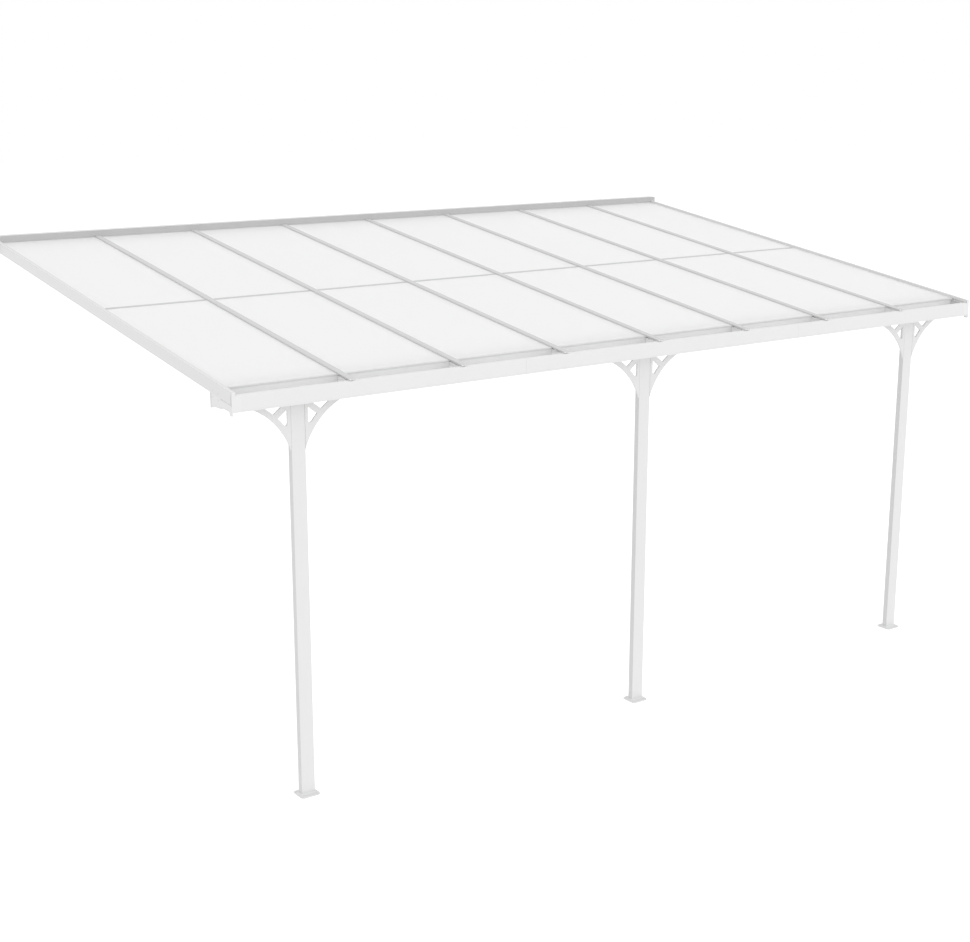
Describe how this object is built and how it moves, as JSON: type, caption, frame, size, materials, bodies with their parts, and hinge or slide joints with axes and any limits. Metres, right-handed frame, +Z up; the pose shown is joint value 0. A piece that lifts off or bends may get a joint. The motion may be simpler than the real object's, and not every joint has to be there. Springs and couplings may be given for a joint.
{
  "type": "attached patio cover",
  "caption": "White lean-to patio cover: a wall rail, sloping rafters with translucent panels, a front gutter beam, slim posts and arched corbels.",
  "frame": {"origin": "centre of the wall rail's flat back face, on the wall", "axes": "+X along the wall, to the right seen from the front; +Y into the wall; +Z up"},
  "size_m": [6.098, 3.66, 3.0343],
  "materials": {
    "posts": "satin white powder coat on extruded aluminium",
    "corbels": "satin white powder coat on extruded aluminium",
    "gutter": "satin white powder coat on extruded aluminium",
    "rafters": "satin white powder coat on extruded aluminium",
    "side_rafters": "satin white powder coat on extruded aluminium",
    "rafter_caps": "satin white powder coat on extruded aluminium",
    "trims": "satin white powder coat on extruded aluminium",
    "ledger": "satin white powder coat on extruded aluminium",
    "foot_plates": "satin white powder coat on extruded aluminium",
    "end_caps": "satin white moulded plastic",
    "roof_panels": "translucent white twin-wall polycarbonate sheet"
  },
  "bodies": {
    "root": {"post_left": "posts", "post_middle": "posts", "post_right": "posts", "foot_plate_left": "foot_plates", "foot_plate_middle": "foot_plates", "foot_plate_right": "foot_plates", "post_head_left": "posts", "post_head_middle": "posts", "post_head_right": "posts", "corbel_left_outer": "corbels", "corbel_left_inner": "corbels", "corbel_middle_left": "corbels", "corbel_middle_right": "corbels", "corbel_right_inner": "corbels", "corbel_right_outer": "corbels", "gutter_beam_left": "gutter", "gutter_beam_middle": "gutter", "gutter_beam_right": "gutter", "gutter_splice_left": "gutter", "gutter_splice_right": "gutter", "gutter_end_cap_left": "end_caps", "gutter_end_cap_right": "end_caps", "ledger_end_cap_left": "end_caps", "ledger_end_cap_right": "end_caps", "rafter_1": "rafters", "rafter_2": "rafters", "rafter_3": "rafters", "rafter_4": "rafters", "rafter_5": "rafters", "rafter_6": "rafters", "rafter_7": "rafters", "side_rafter_left": "side_rafters", "side_rafter_right": "side_rafters", "roof_panels_bay_1": "roof_panels", "roof_panels_bay_2": "roof_panels", "roof_panels_bay_3": "roof_panels", "roof_panels_bay_4": "roof_panels", "roof_panels_bay_5": "roof_panels", "roof_panels_bay_6": "roof_panels", "roof_panels_bay_7": "roof_panels", "roof_panels_bay_8": "roof_panels", "wall_ledger": "ledger", "rafter_caps": "rafter_caps", "panel_joiners": "trims", "gutter_closures": "trims", "panel_end_trims": "trims"}
  },
  "joints": []
}
